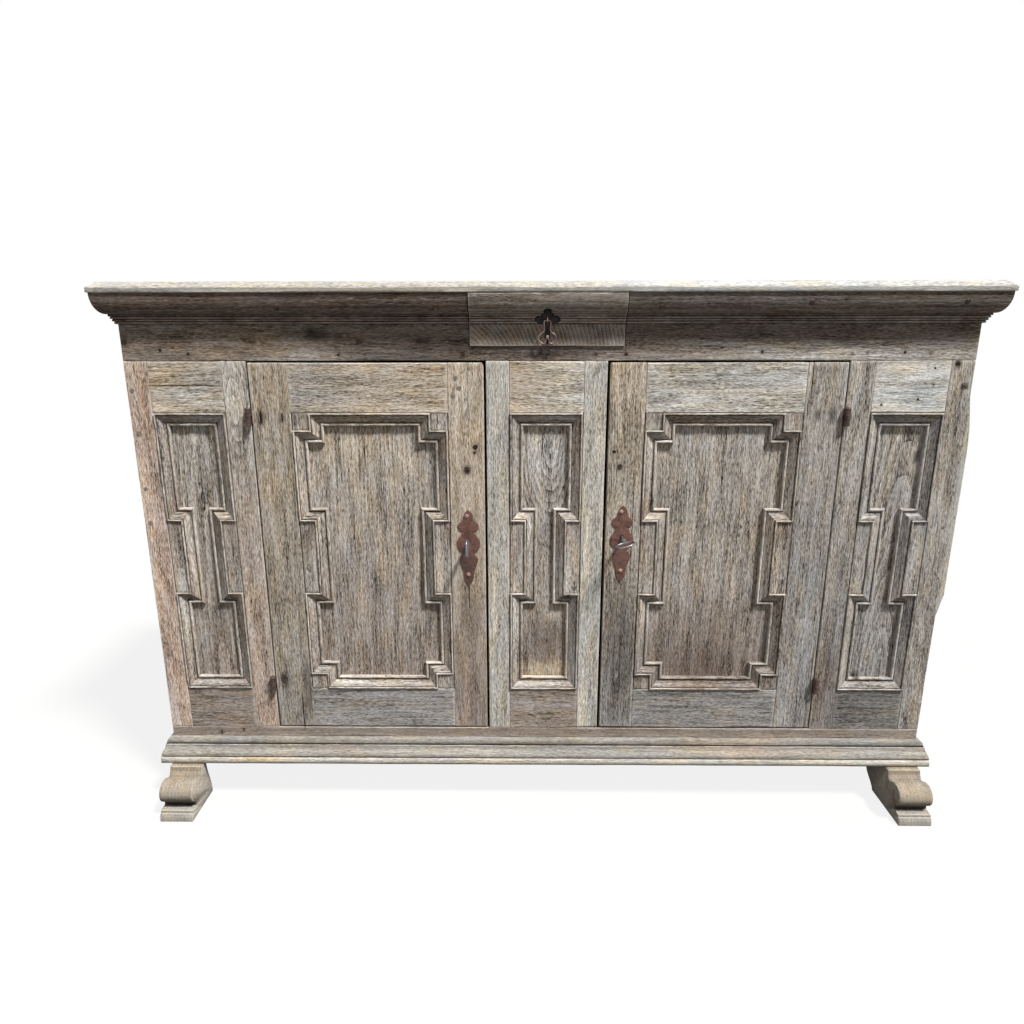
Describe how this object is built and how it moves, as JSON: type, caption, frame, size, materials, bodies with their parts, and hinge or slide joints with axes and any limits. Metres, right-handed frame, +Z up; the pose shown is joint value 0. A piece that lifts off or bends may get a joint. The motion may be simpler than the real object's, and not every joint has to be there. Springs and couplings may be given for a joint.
{
  "type": "oak sideboard",
  "caption": "Bleached oak sideboard with panelled doors on knuckle hinges, rim locks with keys, stepped panel mouldings, a drawer hidden in the cornice and scroll feet.",
  "frame": {"origin": "on the floor, under the middle of the sideboard's box", "axes": "+X to the viewer's right along the front, +Y from the front to the back, +Z up; the doors face -Y"},
  "size_m": [1.67, 0.6, 1.0805],
  "materials": {
    "oak_frame": "bleached, weathered, open grain",
    "oak_panel": "bleached, weathered, open grain",
    "oak_cornice": "weathered, dark",
    "oak_pale": "bleached, worn pale",
    "oak_inside": "unfinished, rough sawn",
    "iron_rusty": "rusted",
    "iron_dark": "dark, worn"
  },
  "bodies": {
    "carcass": {"top_board": "oak_pale", "cornice_front_left": "oak_cornice", "cornice_front_right": "oak_cornice", "cornice_left": "oak_cornice", "cornice_right": "oak_cornice", "frieze_rail": "oak_cornice", "front_left_post": "oak_frame", "front_right_post": "oak_frame", "left_bay_stile": "oak_frame", "right_bay_stile": "oak_frame", "centre_left_stile": "oak_pale", "centre_right_stile": "oak_pale", "left_bay_top_rail": "oak_panel", "left_bay_bottom_rail": "oak_panel", "left_bay_panel": "oak_panel", "centre_bay_top_rail": "oak_panel", "centre_bay_bottom_rail": "oak_panel", "centre_bay_panel": "oak_panel", "right_bay_top_rail": "oak_panel", "right_bay_bottom_rail": "oak_panel", "right_bay_panel": "oak_panel", "plinth": "oak_pale", "left_front_foot": "oak_pale", "right_front_foot": "oak_pale", "left_side_board": "oak_panel", "right_side_board": "oak_panel", "back_boards": "oak_inside", "floor_boards": "oak_inside", "dust_board": "oak_inside", "shelf": "oak_inside", "left_upper_pintle": "iron_rusty", "left_lower_pintle": "iron_rusty", "right_upper_pintle": "iron_rusty", "right_lower_pintle": "iron_rusty"},
    "left_door": {"left_door_hinge_stile": "oak_frame", "left_door_lock_stile": "oak_frame", "left_door_top_rail": "oak_panel", "left_door_bottom_rail": "oak_panel", "left_door_panel": "oak_panel", "left_door_upper_knuckle": "iron_rusty", "left_door_lower_knuckle": "iron_rusty", "left_escutcheon": "iron_rusty", "left_lock_case": "iron_dark"},
    "right_door": {"right_door_hinge_stile": "oak_frame", "right_door_lock_stile": "oak_frame", "right_door_top_rail": "oak_panel", "right_door_bottom_rail": "oak_panel", "right_door_panel": "oak_panel", "right_door_upper_knuckle": "iron_rusty", "right_door_lower_knuckle": "iron_rusty", "right_escutcheon": "iron_rusty", "right_lock_case": "iron_dark"},
    "left_key": {"left_key": "iron_dark"},
    "left_bolt": {"left_bolt": "iron_dark"},
    "right_key": {"right_key": "iron_dark"},
    "right_bolt": {"right_bolt": "iron_dark"},
    "drawer": {"drawer_front": "oak_cornice", "drawer_box": "oak_inside", "drawer_plate": "iron_dark"},
    "drawer_pull": {"drawer_pull": "iron_dark"}
  },
  "joints": [
    {"name": "left_door_swing", "type": "hinge", "parent": "carcass", "child": "left_door", "pos_m": [-0.57025, -0.2063, 0.164], "axis": [0, 0, -1], "range_deg": [0, 170]},
    {"name": "right_door_swing", "type": "hinge", "parent": "carcass", "child": "right_door", "pos_m": [0.57025, -0.2063, 0.164], "axis": [0, 0, 1], "range_deg": [0, 170]},
    {"name": "drawer_slide", "type": "slide", "parent": "carcass", "child": "drawer", "axis": [0, -1, 0], "range_m": [0, 0.28]},
    {"name": "drawer_pull_swing", "type": "hinge", "parent": "drawer", "child": "drawer_pull", "pos_m": [0, -0.2105, 1.0112], "axis": [-1, 0, 0], "range_deg": [0, 100]},
    {"name": "left_key_turn", "type": "hinge", "parent": "left_door", "child": "left_key", "pos_m": [-0.153, -0.2, 0.584], "axis": [0, 1, 0], "range_deg": [-3, 183]},
    {"name": "left_bolt_slide", "type": "slide", "parent": "left_door", "child": "left_bolt", "axis": [1, 0, 0], "range_m": [0, 0.018]},
    {"name": "right_key_turn", "type": "hinge", "parent": "right_door", "child": "right_key", "pos_m": [0.153, -0.2, 0.593], "axis": [0, -1, 0], "range_deg": [-108, 78]},
    {"name": "right_bolt_slide", "type": "slide", "parent": "right_door", "child": "right_bolt", "axis": [-1, 0, 0], "range_m": [-0.0105, 0.0075]}
  ],
  "couplings": [
    {"joint": "left_key_turn", "follows": "left_bolt_slide", "rad_per_m": 174.53},
    {"joint": "right_key_turn", "follows": "right_bolt_slide", "rad_per_m": 174.53}
  ]
}
